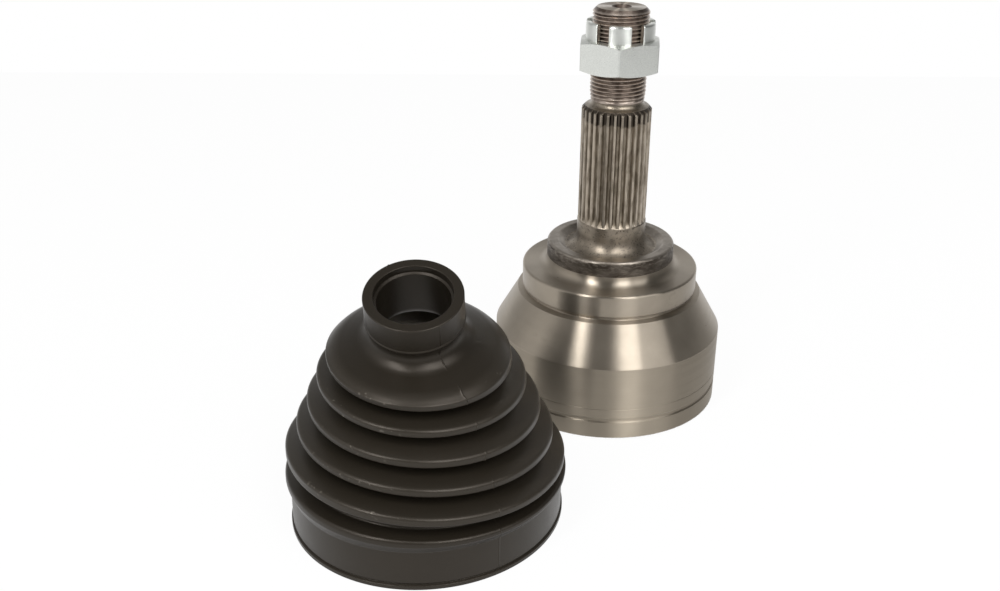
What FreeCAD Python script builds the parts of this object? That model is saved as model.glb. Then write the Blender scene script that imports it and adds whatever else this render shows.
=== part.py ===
import FreeCAD, Part
import math
import os

# Outer constant-velocity joint of a front driveshaft, with its rubber boot beside it.
#
# The joint stands on the mouth of its bell. The origin is the centre of that mouth,
# +Z runs up the stub axle, and +X is the axis that the joint bends about.
# All sizes are in millimetres and all angles in degrees.

# ---------------------------------------------------------------- driving sizes

# joint internals
ball_diameter = 17.462
ball_count = 6
ball_circle_radius = 30.0
track_offset = 4.0
joint_centre_height = 26.0
first_ball_angle = 30.0

outer_track_gap = 0.30
outer_track_low_angle = -60.0
outer_track_high_angle = 49.0
inner_track_gap = 0.35
inner_track_half_angle = 65.0
window_gap = 0.60
window_side_gap = 1.40
sphere_gap = 0.30

cage_thickness = 4.7
cage_half_width = 14.5
cage_window_corner = 3.0

race_width_below = 10.5
race_width_above = 11.5
race_edge_chamfer = 0.8
race_bore_radius = 11.9
race_spline_count = 28
race_spline_depth = 0.9
race_pilot_radius = 13.1
race_pilot_length = 3.0

ring_groove_height = 1.8
ring_groove_depth = 1.0
ring_wire = 1.4
ring_inner_radius = 11.0
ring_gap_angle = 24.0
ring_wire_round = 0.3
ring_seat_gap = 0.1
ring_above_centre = 5.0

# bell
bell_radius = 47.3
bell_cylinder_top = 31.0
mouth_rim_radius = 41.0
mouth_seat_height = 13.0
cavity_top = 54.0
clamp_groove_bottom = 6.9
clamp_groove_top = 9.1
clamp_groove_depth = 0.55
bell_shoulder_round = 1.5

# shoulders above the bell
cone_top = 46.6
cone_top_radius = 38.3
root_groove_radius = 35.5
root_groove_top = 48.8
root_groove_slope = 0.6
wide_collar_radius = 36.3
wide_collar_top = 57.6
wide_collar_round = 0.9
hub_collar_radius = 26.2
hub_collar_top = 68.0
hub_collar_foot_round = 3.5
hub_collar_round = 0.8
hub_face_inner_radius = 21.9
hub_face_dish = 2.4

# stub axle
neck_radius = 14.1
neck_foot_round = 5.5
neck_foot_step = 4.5
neck_foot_step_round = 1.0
spline_count = 30
spline_first_groove = 4.7
spline_radius = 13.9
spline_depth = 1.15
spline_bottom = 77.4
spline_runout = 3.2
spline_chamfer = 2.3
relief_radius = 10.1
relief_height = 2.6
relief_round = 0.8
thread_length = 34.4
thread_radius = 11.0
thread_pitch = 1.5
thread_depth = 0.86
thread_crest = 0.3
stub_top = 163.0
stub_chamfer = 1.6
centre_hole_radius = 3.8
centre_hole_shank_radius = 2.6
centre_hole_cone_depth = 1.2
centre_hole_depth = 9.0

# castle nut
nut_end_setback = 4.6
nut_hex_height = 12.2
nut_height = 19.0
nut_across_flats = 30.0
nut_crown_radius = 13.6
nut_slot_count = 6
nut_slot_width = 5.2
nut_thread_gap = 0.12
nut_corner_chamfer = 1.1
nut_face_inset = 0.4
nut_crown_round = 0.8
nut_corner_angle = -96.0

# teeth of both splines, as shares of one pitch
tooth_gap_at_root = 0.32
tooth_gap_at_tip = 0.68

# boot
boot_x = -71.9
boot_y = -92.5
boot_lean_direction = -95.0
boot_lean_angle = 20.4
boot_lean_from = 33.0
boot_length = 91.8
boot_wall = 2.0
boot_cuff_radius = 48.6
boot_cuff_wall = 2.2
boot_cuff_height = 15.0
boot_lip_radius = 49.1
boot_lip_height = 1.6
boot_bead_radius = 50.1
boot_bead_height = 18.6
boot_fold_count = 5
boot_first_fold = 26.5
boot_fold_pitch = 9.6
boot_first_fold_radius = 49.6
boot_fold_taper = 4.5
boot_fold_depth = 7.5
boot_fold_land = 3.0
boot_valley_land = 1.6
boot_neck_radius = 15.6
boot_neck_bottom = 74.5
boot_neck_ring_radius = 16.6
boot_neck_ring_bottom = 80.8
boot_small_bore_radius = 12.3
boot_mouth_bore_radius = 13.2
boot_mouth_bore_depth = 2.6
boot_step_slope = 0.4
boot_bead_land = 2.0
boot_neck_foot_height = 2.5
boot_neck_foot_step = 4.0

# ---------------------------------------------------------------- worked-out sizes

ball_radius = ball_diameter / 2
track_radius = math.hypot(ball_circle_radius, track_offset)
outer_track_centre = joint_centre_height - track_offset
inner_track_centre = joint_centre_height + track_offset
cage_outer_radius = ball_circle_radius + cage_thickness / 2
cage_inner_radius = ball_circle_radius - cage_thickness / 2
bell_sphere_radius = cage_outer_radius + sphere_gap
race_sphere_radius = cage_inner_radius - sphere_gap
relief_top = stub_top - thread_length
spline_top = relief_top - relief_height
nut_top = stub_top - nut_end_setback
nut_bottom = nut_top - nut_height
race_bottom = joint_centre_height - race_width_below
race_top = joint_centre_height + race_width_above
ball_angles = [first_ball_angle + 360 * number / ball_count for number in range(ball_count)]

UP = FreeCAD.Vector(0, 0, 1)
ORIGIN = FreeCAD.Vector(0, 0, 0)
JOINT_CENTRE = FreeCAD.Vector(0, 0, joint_centre_height)


# ---------------------------------------------------------------- helpers

def point(radius, height, angle=0.0):
    """A point given by its distance from the stub axis, its height and its bearing."""
    turn = math.radians(angle)
    return FreeCAD.Vector(radius * math.cos(turn), radius * math.sin(turn), height)


def lathe(corners):
    """A solid turned about the Z axis from (radius, height, corner round) corners."""
    edges = []
    starts = []
    ends = []
    count = len(corners)
    for index, (radius, height, corner_round) in enumerate(corners):
        here = point(radius, height)
        before = point(*corners[index - 1][:2])
        after = point(*corners[(index + 1) % count][:2])
        if corner_round == 0:
            starts.append(here)
            ends.append(here)
            continue
        back = (before - here).normalize()
        ahead = (after - here).normalize()
        half = back.getAngle(ahead) / 2
        reach = corner_round / math.tan(half)
        middle_line = (back + ahead).normalize()
        centre = here + middle_line * (corner_round / math.sin(half))
        first = here + back * reach
        last = here + ahead * reach
        edges.append(Part.Arc(first, centre - middle_line * corner_round, last).toShape())
        starts.append(first)
        ends.append(last)
    for index in range(count):
        line_start = ends[index]
        line_end = starts[(index + 1) % count]
        if line_start.distanceToPoint(line_end) > 1e-6:
            edges.append(Part.makeLine(line_start, line_end))
    wire = Part.Wire(Part.sortEdges(edges)[0])
    return Part.Face(wire).revolve(ORIGIN, UP, 360)


def cylinder(radius, bottom, top):
    return Part.makeCylinder(radius, top - bottom, FreeCAD.Vector(0, 0, bottom))


def turned(shape, angle):
    """A copy of a shape, turned about the stub axis."""
    copy = shape.copy()
    copy.rotate(ORIGIN, UP, angle)
    return copy


def around(shape, count, start=0.0):
    """Copies of a shape spaced evenly round the stub axis."""
    return [turned(shape, start + 360 * number / count) for number in range(count)]


def track_tube(centre_height, tube_radius, low, high):
    """The curved tube that a ball's track is cut with, in the XZ plane."""
    centre = FreeCAD.Vector(0, 0, centre_height)
    section = Part.Face(Part.Wire(Part.makeCircle(tube_radius, point(track_radius, centre_height), UP)))
    section.rotate(centre, FreeCAD.Vector(0, -1, 0), low)
    return section.revolve(centre, FreeCAD.Vector(0, -1, 0), high - low)


def spline_cutter(root_radius, tip_radius, count, bottom, top, runout):
    """One groove of a spline, with sloping flanks and a run-out at its lower end."""
    pitch_angle = 2 * math.pi / count
    narrow_half = tooth_gap_at_root / 2 * pitch_angle * root_radius
    wide_half = tooth_gap_at_tip / 2 * pitch_angle * tip_radius
    depth = tip_radius - root_radius
    overshoot = depth / 3
    outer_half = wide_half + (wide_half - narrow_half) / 3

    def section(height, shift):
        near = root_radius + shift
        far = tip_radius + overshoot + shift
        corners = [
            FreeCAD.Vector(near, -narrow_half, height),
            FreeCAD.Vector(near, narrow_half, height),
            FreeCAD.Vector(far, outer_half, height),
            FreeCAD.Vector(far, -outer_half, height),
        ]
        return Part.makePolygon(corners + corners[:1])

    straight = Part.makeLoft([section(bottom + runout, 0), section(top, 0)], True, True)
    if runout == 0:
        return straight
    end = Part.makeLoft([section(bottom, depth), section(bottom + runout, 0)], True, True)
    return straight.fuse(end)


def thread_corners(crest_radius, depth, bottom, top):
    """Corners of a row of thread ridges, from the bottom up."""
    corners = []
    flank = (thread_pitch - 2 * thread_crest) / 2
    count = int((top - bottom) / thread_pitch)
    for number in range(count):
        base = bottom + number * thread_pitch
        corners.append((crest_radius - depth, base + thread_crest / 2, 0))
        corners.append((crest_radius, base + thread_crest / 2 + flank, 0))
        corners.append((crest_radius, base + thread_crest * 1.5 + flank, 0))
        corners.append((crest_radius - depth, base + thread_crest * 1.5 + 2 * flank, 0))
    return corners


# ---------------------------------------------------------------- housing

def housing_outside():
    """The bell, its shoulders and the stub axle, turned from one forging."""
    groove_radius = bell_radius - clamp_groove_depth
    thread_top = stub_top - stub_chamfer
    corners = [
        (0, 0, 0),
        (bell_radius, 0, 0),
        (bell_radius, clamp_groove_bottom, 0),
        (groove_radius, clamp_groove_bottom + clamp_groove_depth, 0),
        (groove_radius, clamp_groove_top - clamp_groove_depth, 0),
        (bell_radius, clamp_groove_top, 0),
        (bell_radius, bell_cylinder_top, bell_shoulder_round),
        (cone_top_radius, cone_top, 0),
        (root_groove_radius, cone_top + root_groove_slope, 0),
        (root_groove_radius, root_groove_top - root_groove_slope, 0),
        (wide_collar_radius, root_groove_top, 0),
        (wide_collar_radius, wide_collar_top, wide_collar_round),
        (hub_collar_radius, wide_collar_top, hub_collar_foot_round),
        (hub_collar_radius, hub_collar_top, hub_collar_round),
        (hub_face_inner_radius, hub_collar_top, hub_collar_round),
        (neck_radius + neck_foot_step, hub_collar_top - hub_face_dish, neck_foot_step_round),
        (neck_radius, hub_collar_top, neck_foot_round),
        (neck_radius, spline_bottom, 0),
        (spline_radius, spline_bottom, 0),
        (spline_radius, spline_top - spline_chamfer, 0),
        (spline_radius - spline_chamfer, spline_top, 0),
        (relief_radius, spline_top, relief_round),
        (relief_radius, relief_top, 0),
    ]
    corners += thread_corners(thread_radius, thread_depth, relief_top, thread_top)
    corners += [
        (thread_radius - thread_depth, thread_top, 0),
        (thread_radius - stub_chamfer, stub_top, 0),
        (0, stub_top, 0),
    ]
    return lathe(corners)


def housing_cavity():
    """The ball-shaped room for the cage, closed above and flaring at the mouth."""
    mouth_seat_radius = math.sqrt(
        bell_sphere_radius ** 2 - (joint_centre_height - mouth_seat_height) ** 2
    )
    flare = (mouth_rim_radius - mouth_seat_radius) / mouth_seat_height
    mouth = lathe([
        (0, -1, 0),
        (mouth_rim_radius + flare, -1, 0),
        (mouth_seat_radius, mouth_seat_height, 0),
        (0, mouth_seat_height, 0),
    ])
    sphere = Part.makeSphere(bell_sphere_radius, JOINT_CENTRE)
    room = sphere.common(cylinder(bell_radius, mouth_seat_height - 2, cavity_top))
    return room.fuse(mouth)


def centre_hole():
    """The lathe centre drilled in the end of the stub."""
    shank_top = stub_top - centre_hole_cone_depth
    shank_bottom = stub_top - centre_hole_depth
    return lathe([
        (0, stub_top, 0),
        (centre_hole_radius, stub_top, 0),
        (centre_hole_shank_radius, shank_top, 0),
        (centre_hole_shank_radius, shank_bottom, 0),
        (0, shank_bottom - centre_hole_shank_radius / 2, 0),
    ])


def make_housing():
    body = housing_outside().cut(housing_cavity())
    tube = track_tube(
        outer_track_centre, ball_radius + outer_track_gap,
        outer_track_low_angle, outer_track_high_angle,
    )
    body = body.cut([turned(tube, angle) for angle in ball_angles])
    groove = spline_cutter(
        spline_radius - spline_depth, spline_radius, spline_count,
        spline_bottom, spline_top + 1, spline_runout,
    )
    body = body.cut(around(groove, spline_count, spline_first_groove))
    return body.cut(centre_hole())


# ---------------------------------------------------------------- bearing parts

def make_inner_race():
    ball_part = Part.makeSphere(race_sphere_radius, JOINT_CENTRE)
    blank = ball_part.common(cylinder(race_sphere_radius + 1, race_bottom, race_top))
    body = blank.cut(cylinder(race_bore_radius, race_bottom - 1, race_top + 1))
    body = body.cut(cylinder(race_pilot_radius, race_bottom - 1, race_bottom + race_pilot_length))
    groove_middle = joint_centre_height + ring_above_centre
    groove = cylinder(
        race_bore_radius + race_spline_depth + ring_groove_depth,
        groove_middle - ring_groove_height / 2, groove_middle + ring_groove_height / 2,
    )
    body = body.cut(groove)
    tooth_gap = spline_cutter(
        race_bore_radius + race_spline_depth, race_bore_radius, race_spline_count,
        race_bottom - 1, race_top + 1, 0,
    )
    body = body.cut(around(tooth_gap, race_spline_count))
    tube = track_tube(
        inner_track_centre, ball_radius + inner_track_gap,
        -inner_track_half_angle, inner_track_half_angle,
    )
    return body.cut([turned(tube, angle) for angle in ball_angles])


def make_race_ring():
    """The split wire ring that locks the driveshaft into the inner race."""
    middle = joint_centre_height + ring_above_centre
    outer = race_bore_radius + race_spline_depth + ring_groove_depth - ring_seat_gap
    ring = lathe([
        (ring_inner_radius, middle - ring_wire / 2, ring_wire_round),
        (outer, middle - ring_wire / 2, ring_wire_round),
        (outer, middle + ring_wire / 2, ring_wire_round),
        (ring_inner_radius, middle + ring_wire / 2, ring_wire_round),
    ])
    half_gap = outer * math.sin(math.radians(ring_gap_angle / 2))
    gap = Part.makeBox(
        outer + 2, 2 * half_gap, ring_wire + 2,
        FreeCAD.Vector(0, -half_gap, middle - ring_wire / 2 - 1),
    )
    return ring.cut(gap)


def make_cage():
    shell = Part.makeSphere(cage_outer_radius, JOINT_CENTRE)
    shell = shell.cut(Part.makeSphere(cage_inner_radius, JOINT_CENTRE))
    band = shell.common(cylinder(
        cage_outer_radius + 1,
        joint_centre_height - cage_half_width, joint_centre_height + cage_half_width,
    ))
    half_height = ball_radius + window_gap
    half_length = ball_radius + window_side_gap
    window = Part.makeBox(
        cage_outer_radius, 2 * half_length, 2 * half_height,
        FreeCAD.Vector(cage_inner_radius / 2, -half_length, joint_centre_height - half_height),
    )
    along = [edge for edge in window.Edges if abs(edge.tangentAt(edge.FirstParameter).x) > 0.99]
    window = window.makeFillet(cage_window_corner, along)
    return band.cut([turned(window, angle) for angle in ball_angles])


def make_ball(angle):
    return Part.makeSphere(ball_radius, point(ball_circle_radius, joint_centre_height, angle))


# ---------------------------------------------------------------- castle nut

def make_castle_nut():
    hex_top = nut_bottom + nut_hex_height
    corner_radius = nut_across_flats / 2 / math.cos(math.pi / 6)
    corners = [point(corner_radius, nut_bottom, nut_corner_angle + 60 * number) for number in range(6)]
    hexagon = Part.Face(Part.makePolygon(corners + corners[:1]))
    prism = hexagon.extrude(FreeCAD.Vector(0, 0, nut_hex_height))
    flat_radius = nut_across_flats / 2
    chamfer_height = nut_corner_chamfer
    turned_blank = lathe([
        (0, nut_bottom, 0),
        (flat_radius - nut_face_inset, nut_bottom, 0),
        (corner_radius, nut_bottom + chamfer_height, 0),
        (corner_radius, hex_top - chamfer_height, 0),
        (flat_radius - nut_face_inset, hex_top, 0),
        (0, hex_top, 0),
    ])
    crown = lathe([
        (0, hex_top - 1, 0),
        (nut_crown_radius, hex_top - 1, 0),
        (nut_crown_radius, nut_top, nut_crown_round),
        (0, nut_top, 0),
    ])
    body = prism.common(turned_blank).fuse(crown).removeSplitter()
    slot = Part.makeBox(
        nut_crown_radius + 2, nut_slot_width, nut_height,
        FreeCAD.Vector(0, -nut_slot_width / 2, hex_top),
    )
    body = body.cut(around(slot, nut_slot_count, nut_corner_angle + 180 / nut_slot_count))
    return body.cut(nut_bore())


def nut_bore():
    """The nut's threaded bore, whose ridges sit in the grooves of the stub's thread."""
    ridges = thread_corners(
        thread_radius + nut_thread_gap, thread_depth, relief_top, nut_top + thread_pitch * 2
    )
    top = ridges[-1][1]
    corners = [(0, relief_top, 0)] + ridges + [(0, top, 0)]
    return lathe(corners)


# ---------------------------------------------------------------- boot

def spine_frame(distance):
    """Where a circle of the boot lies, at a distance along its bent spine."""
    lean = math.radians(boot_lean_angle)
    bend_length = boot_neck_ring_bottom - boot_lean_from
    bend_radius = bend_length / lean
    bent = min(max(distance - boot_lean_from, 0), bend_length)
    tilt = bent / bend_radius
    straight_low = min(distance, boot_lean_from)
    straight_high = max(distance - boot_neck_ring_bottom, 0)
    sideways = bend_radius * (1 - math.cos(tilt)) + straight_high * math.sin(tilt)
    upward = straight_low + bend_radius * math.sin(tilt) + straight_high * math.cos(tilt)
    centre = FreeCAD.Vector(boot_x, boot_y, 0) + point(sideways, upward, boot_lean_direction)
    hinge_line = point(1, 0, boot_lean_direction + 90)
    return FreeCAD.Placement(centre, FreeCAD.Rotation(hinge_line, math.degrees(tilt)))


def boot_skin(stations):
    """A solid through circles of given radius, each square to the boot's spine."""
    rings = []
    for distance, radius in stations:
        ring = Part.Wire(Part.makeCircle(radius))
        ring.Placement = spine_frame(distance)
        rings.append(ring)
    return Part.makeLoft(rings, True, True)


def fold_stations(inset):
    """Crests and valleys of the folds, moved inward by the inset."""
    stations = []
    for number in range(boot_fold_count):
        middle = boot_first_fold + number * boot_fold_pitch
        crest = boot_first_fold_radius - number * boot_fold_taper
        valley = crest + boot_fold_taper / 2 - boot_fold_depth
        below = middle - boot_fold_pitch / 2
        crest_half = boot_fold_land / 2 - inset * 0.35
        valley_half = boot_valley_land / 2 + inset * 0.35
        stations.append((below - valley_half, valley - inset))
        stations.append((below + valley_half, valley - inset))
        stations.append((middle - crest_half, crest - inset))
        stations.append((middle + crest_half, crest - inset))
    return stations


def make_boot():
    outside = [
        (0, boot_lip_radius),
        (boot_lip_height, boot_lip_radius),
        (boot_lip_height + boot_step_slope, boot_cuff_radius),
        (boot_cuff_height, boot_cuff_radius),
        (boot_bead_height - boot_bead_land / 2, boot_bead_radius),
        (boot_bead_height + boot_bead_land / 2, boot_bead_radius),
    ]
    outside += fold_stations(0)
    outside += [
        (boot_neck_bottom - boot_neck_foot_height, boot_neck_radius + boot_neck_foot_step),
        (boot_neck_bottom, boot_neck_radius),
        (boot_neck_ring_bottom, boot_neck_radius),
        (boot_neck_ring_bottom + boot_step_slope, boot_neck_ring_radius),
        (boot_length, boot_neck_ring_radius),
    ]
    inside = [
        (-1, boot_cuff_radius - boot_cuff_wall),
        (boot_cuff_height, boot_cuff_radius - boot_cuff_wall),
        (boot_bead_height, boot_bead_radius - boot_wall),
    ]
    inside += fold_stations(boot_wall)
    inside += [
        (boot_neck_bottom - 2 * boot_wall, boot_neck_radius + boot_neck_foot_step),
        (boot_neck_bottom - boot_wall / 2, boot_small_bore_radius),
        (boot_neck_ring_bottom, boot_small_bore_radius),
        (boot_length - boot_mouth_bore_depth, boot_small_bore_radius),
        (boot_length - boot_mouth_bore_depth + boot_step_slope, boot_mouth_bore_radius),
        (boot_length + 1, boot_mouth_bore_radius),
    ]
    return boot_skin(outside).cut(boot_skin(inside))


# ---------------------------------------------------------------- files

def main():
    os.makedirs("parts", exist_ok=True)
    shapes = {
        "housing": make_housing(),
        "inner_race": make_inner_race(),
        "cage": make_cage(),
        "race_ring": make_race_ring(),
        "castle_nut": make_castle_nut(),
        "boot": make_boot(),
    }
    for number, angle in enumerate(ball_angles, start=1):
        shapes["ball_%d" % number] = make_ball(angle)
    for name, shape in shapes.items():
        solid = shape.Solids[0] if len(shape.Solids) == 1 else shape
        solid.exportStep("parts/%s.step" % name)


main()
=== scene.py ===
import functools
import math

import bmesh
import bpy
from mathutils import Matrix, Vector, noise


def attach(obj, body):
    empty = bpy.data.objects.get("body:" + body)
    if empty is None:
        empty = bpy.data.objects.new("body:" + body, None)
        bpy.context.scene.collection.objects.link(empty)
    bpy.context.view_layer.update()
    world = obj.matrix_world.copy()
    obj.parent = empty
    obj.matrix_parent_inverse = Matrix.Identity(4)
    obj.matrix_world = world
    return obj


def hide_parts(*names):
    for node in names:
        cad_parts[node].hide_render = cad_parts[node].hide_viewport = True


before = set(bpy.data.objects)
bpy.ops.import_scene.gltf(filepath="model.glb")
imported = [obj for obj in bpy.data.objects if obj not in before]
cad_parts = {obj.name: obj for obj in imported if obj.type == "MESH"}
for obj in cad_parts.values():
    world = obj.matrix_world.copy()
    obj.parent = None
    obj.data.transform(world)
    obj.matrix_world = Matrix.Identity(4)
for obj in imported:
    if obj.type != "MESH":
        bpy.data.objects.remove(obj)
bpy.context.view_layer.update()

MM = 0.001
# points round the bell, the stub and the boot
BELL_STEPS, STUB_STEPS, BOOT_STEPS = 288, 192, 256
# flat strip kept beside each corner, and the distance at which points are merged
EDGE = 0.12 * MM
WELD = 0.0005 * MM
# how far the first turn of the thread reaches into the plain neck, and how much thinner the
# bar is there, before rolling has raised the crests
THREAD_LEAD = 1.2 * MM
THREAD_BLANK = 0.45 * MM
# rise of the thread at places along one pitch, as shares of its depth
THREAD_SHAPE = [0.0, 0.0, 0.12, 0.42, 0.72, 1.0, 1.0, 0.72, 0.42, 0.12]

bl_info = {
    "name": "CV Joint and Boot",
    "version": (1, 0, 0),
    "blender": (4, 5, 0),
    "location": "View3D > Sidebar > CV Joint",
    "description": "Outer driveshaft joint with its splined stub, castle nut and rubber boot",
    "category": "Object",
}


# ------------------------------------------------------------------ property helpers

def linear(code):
    """Linear red, green and blue of an sRGB hex colour."""
    parts = [int(code[place:place + 2], 16) / 255 for place in (1, 3, 5)]
    return tuple(
        part / 12.92 if part <= 0.04045 else ((part + 0.055) / 1.055) ** 2.4 for part in parts
    )


def length(name, description, millimetres):
    return bpy.props.FloatProperty(
        name=name, description=description, default=millimetres * MM,
        unit="LENGTH", subtype="DISTANCE", precision=5,
    )


def angle(name, description, degrees):
    return bpy.props.FloatProperty(
        name=name, description=description, default=math.radians(degrees),
        unit="ROTATION", subtype="ANGLE",
    )


def slopes(name, description, along_x, along_y):
    return bpy.props.FloatVectorProperty(
        name=name, description=description, default=(along_x, along_y), size=2, precision=3,
    )


def count(name, description, number):
    return bpy.props.IntProperty(name=name, description=description, default=number, min=1)


def colour(name, description, code):
    return bpy.props.FloatVectorProperty(
        name=name, description=description, default=linear(code), subtype="COLOR", size=3,
        min=0, max=1,
    )


# ------------------------------------------------------------------ sizes and colours

class BellSizes(bpy.types.PropertyGroup):
    """The bell and the shoulders above it"""
    radius: length("Bell radius", "Outside radius of the plain wall", 47.3)
    wall_top: length("Wall top", "Height where the plain wall meets the cone", 31.0)
    wall_round: length("Wall round", "Round between wall and cone", 0.6)
    groove_bottom: length("Groove bottom", "Lower edge of the clamp groove", 6.9)
    groove_top: length("Groove top", "Upper edge of the clamp groove", 9.1)
    groove_depth: length("Groove depth", "Depth of the clamp groove", 0.55)
    scribe_height: length("Scribed line", "Height of the fine line above the groove", 13.1)
    scribe_depth: length("Scribe depth", "Depth of the fine line", 0.12)
    cone_top: length("Cone top", "Height of the cone's upper edge", 46.6)
    cone_top_radius: length("Cone top radius", "Radius of the cone's upper edge", 38.3)
    root_radius: length("Root groove radius", "Bottom of the groove under the wide collar", 35.5)
    root_top: length("Root groove top", "Upper edge of the groove under the wide collar", 48.8)
    root_slope: length("Root groove slope", "Height of the groove's sloping sides", 0.6)
    collar_radius: length("Wide collar radius", "Radius of the wide collar", 36.3)
    collar_top: length("Wide collar top", "Height of the wide collar's flat face", 57.6)
    collar_round: length("Wide collar round", "Round on the wide collar's edge", 0.9)
    hub_radius: length("Hub collar radius", "Radius of the upper collar that locates the hub", 26.2)
    hub_top: length("Hub collar top", "Height of the face that the hub's bearing sits on", 68.0)
    hub_foot_round: length("Hub collar foot", "Round at the foot of the upper collar", 3.5)
    hub_round: length("Hub collar round", "Round on the upper collar's edge", 1.5)
    face_inner_radius: length("Face inner radius", "Inner radius of the upper collar's rim", 21.9)
    face_dish: length("Face dish", "Depth of the dish inside the flat ring", 2.4)
    neck_radius: length("Neck radius", "Radius of the neck below the spline", 14.1)
    neck_foot_step: length("Neck foot step", "Width of the dish's floor beside the neck", 4.5)
    neck_round: length("Neck foot round", "Round at the foot of the neck", 5.5)
    socket_top: length("Socket top", "Height of the closed end of the bell's inside", 54.0)


class StubSizes(bpy.types.PropertyGroup):
    """The splined and threaded stub axle"""
    teeth: count("Teeth", "Number of spline teeth", 30)
    first_groove: angle("First groove", "Bearing of one spline groove", 4.7)
    tip_radius: length("Tooth tip radius", "Radius over the spline teeth", 13.9)
    tooth_depth: length("Tooth depth", "Depth of the spline grooves", 1.15)
    spline_bottom: length("Spline bottom", "Height where the grooves run out", 77.4)
    runout: length("Run-out", "Length over which the grooves fade", 3.2)
    spline_top: length("Spline top", "Height of the shoulder above the spline", 126.0)
    spline_chamfer: length("Spline chamfer", "Chamfer on the end of the teeth", 2.3)
    teeth_end: length("Teeth end", "Height where the chamfer has cut the grooves away", 125.0)
    relief_radius: length("Relief radius", "Radius of the plain neck under the thread", 10.1)
    relief_height: length("Relief height", "Height of the plain neck under the thread", 2.6)
    thread_radius: length("Thread radius", "Outside radius of the thread", 11.0)
    thread_pitch: length("Thread pitch", "Rise of the thread in one turn", 1.5)
    thread_depth: length("Thread depth", "Depth of the thread", 0.86)
    top: length("Stub top", "Height of the stub's end face", 163.3)
    end_chamfer: length("End chamfer", "Chamfer on the stub's end", 1.6)
    hole_radius: length("Centre hole radius", "Radius at the mouth of the lathe centre", 3.8)
    shank_radius: length("Centre hole shank", "Radius inside the lathe centre", 2.6)
    hole_depth: length("Centre hole depth", "Depth of the lathe centre", 9.0)


class NutSizes(bpy.types.PropertyGroup):
    """The castle nut"""
    setback: length("Setback", "How far the nut's top lies below the stub's end", 5.3)
    height: length("Height", "Whole height of the nut", 19.0)
    hex_height: length("Hexagon height", "Height of the hexagon", 12.2)
    across_flats: length("Across flats", "Spanner size", 30.0)
    corner_chamfer: length("Corner chamfer", "Height of the chamfer at the corners", 1.1)
    face_inset: length("Face inset", "How far the end faces lie inside the flats", 0.4)
    crown_radius: length("Crown radius", "Outside radius of the slotted crown", 13.6)
    crown_round: length("Crown round", "Round on the crown's top edge", 0.8)
    slot_width: length("Slot width", "Width of the slots for the split pin", 5.2)
    bore_gap: length("Bore gap", "Room between the nut's bore and the thread", 0.06)
    corner_bearing: angle("Corner bearing", "Bearing of one corner of the hexagon", -96.0)


class BootSizes(bpy.types.PropertyGroup):
    """The bellows boot"""
    place_x: length("Place X", "Centre of the large end along X", -71.9)
    place_y: length("Place Y", "Centre of the large end along Y", -92.5)
    bend_from: length("Bend from", "Height where the middle of the boot leaves the upright", 32.6)
    slant: slopes("Slant", "How far the middle leans at the last fold, in X and Y", -0.088, -0.219)
    first_tilt: slopes("First fold's tilt", "How far it is tipped, in X and Y", 0.075, 0.018)
    last_tilt: slopes("Last fold's tilt", "How far it is tipped, in X and Y", 0.053, -0.124)
    neck_tilt: slopes("Neck's tilt", "How far the neck leans, along X and Y", -0.008, -0.371)
    squash: length("Squash", "How far handling has pulled the large end out of round", 0.93)
    tall: length("Length", "Length along the middle of the boot", 91.8)
    wall: length("Wall", "Thickness of the folds", 2.0)
    cuff_radius: length("Cuff radius", "Outside radius of the large end", 48.6)
    cuff_wall: length("Cuff wall", "Thickness of the large end", 2.2)
    cuff_height: length("Cuff height", "Height of the large end", 15.0)
    lip_radius: length("Lip radius", "Radius of the thin lip at the bottom", 49.1)
    lip_height: length("Lip height", "Height of the thin lip", 1.6)
    bead_radius: length("Bead radius", "Radius of the bead above the cuff", 50.1)
    bead_height: length("Bead height", "Height of the bead's middle", 18.6)
    bead_land: length("Bead land", "Height of the bead's flat", 2.0)
    folds: count("Folds", "Number of folds", 5)
    first_fold: length("First fold", "Distance to the first fold's crest", 26.5)
    fold_pitch: length("Fold pitch", "Distance from crest to crest", 9.6)
    high_fold: count("High fold", "Number of the fold that has been left pulled up", 4)
    high_fold_rise: length("High fold rise", "How far that fold has been pulled up", 0.9)
    fold_radius: length("Fold radius", "Radius of the first fold's crest", 49.6)
    fold_taper: length("Fold taper", "How much smaller each next crest is", 4.5)
    fold_depth: length("Fold depth", "Depth of the folds", 7.5)
    crest_land: length("Crest land", "Height of a crest's flat", 3.0)
    valley_land: length("Valley land", "Height of a valley's flat", 1.6)
    crest_round: length("Crest round", "Round on the upper edge of a crest", 1.5)
    crest_edge: length("Crest edge", "Round on the lower edge of a crest", 0.8)
    valley_round: length("Valley round", "Round in the valleys", 0.9)
    dome_radius: length("Dome radius", "Radius where the top of the boot starts to flatten", 28.4)
    dome_height: length("Dome height", "Distance to that place", 69.6)
    neck_radius: length("Neck radius", "Radius of the narrow neck", 15.6)
    neck_bottom: length("Neck bottom", "Distance to the foot of the neck", 73.4)
    neck_foot_step: length("Neck foot step", "How much wider the neck's foot is", 8.2)
    neck_foot_height: length("Neck foot height", "Height of the neck's foot", 2.4)
    neck_foot_round: length("Neck foot round", "Round at the foot of the neck", 6.6)
    ring_radius: length("Neck ring radius", "Radius of the ring that the small clamp sits on", 16.7)
    ring_bottom: length("Neck ring bottom", "Distance to the neck ring", 80.8)
    bore_radius: length("Bore radius", "Radius of the small end's bore", 12.3)
    mouth_radius: length("Mouth radius", "Radius of the step inside the small end", 13.2)
    mouth_depth: length("Mouth depth", "Depth of the step inside the small end", 2.6)
    step_slope: length("Step slope", "Height of the small sloping steps", 0.4)
    parting_bearing: angle("Parting line", "Bearing of the mould's parting line", -57.0)
    parting_height: length("Parting ridge", "How far the parting line stands out", 0.45)


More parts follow.
